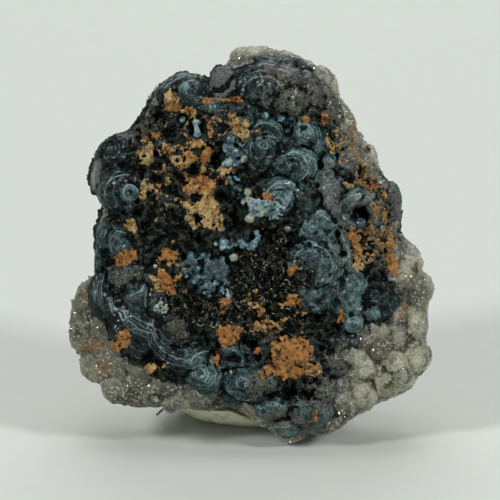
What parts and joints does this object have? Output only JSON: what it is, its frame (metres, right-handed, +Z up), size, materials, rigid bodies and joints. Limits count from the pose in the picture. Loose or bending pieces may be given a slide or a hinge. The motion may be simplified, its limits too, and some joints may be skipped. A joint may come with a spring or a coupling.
{
  "type": "chalcedony rose",
  "caption": "Lobed crust of banded chalcedony with clay in its hollows, on a rim and back of quartz crystals, leaning back on a pressed lump of display putty.",
  "frame": {"origin": "on the ground under the middle of the object's box", "axes": "+Z up, -Y the way the banded face looks, +X to the right as one looks at the face"},
  "size_m": [0.0454, 0.0268, 0.0484],
  "materials": {
    "chalcedony": "waxy slate-blue and black chalcedony in fine bands, with matt ochre clay in its hollows and glassy pale grey druse on its rim and back",
    "putty": "matt, off-white, finger-pressed putty"
  },
  "bodies": {
    "root": {"rose": "chalcedony", "putty": "putty"}
  },
  "joints": []
}
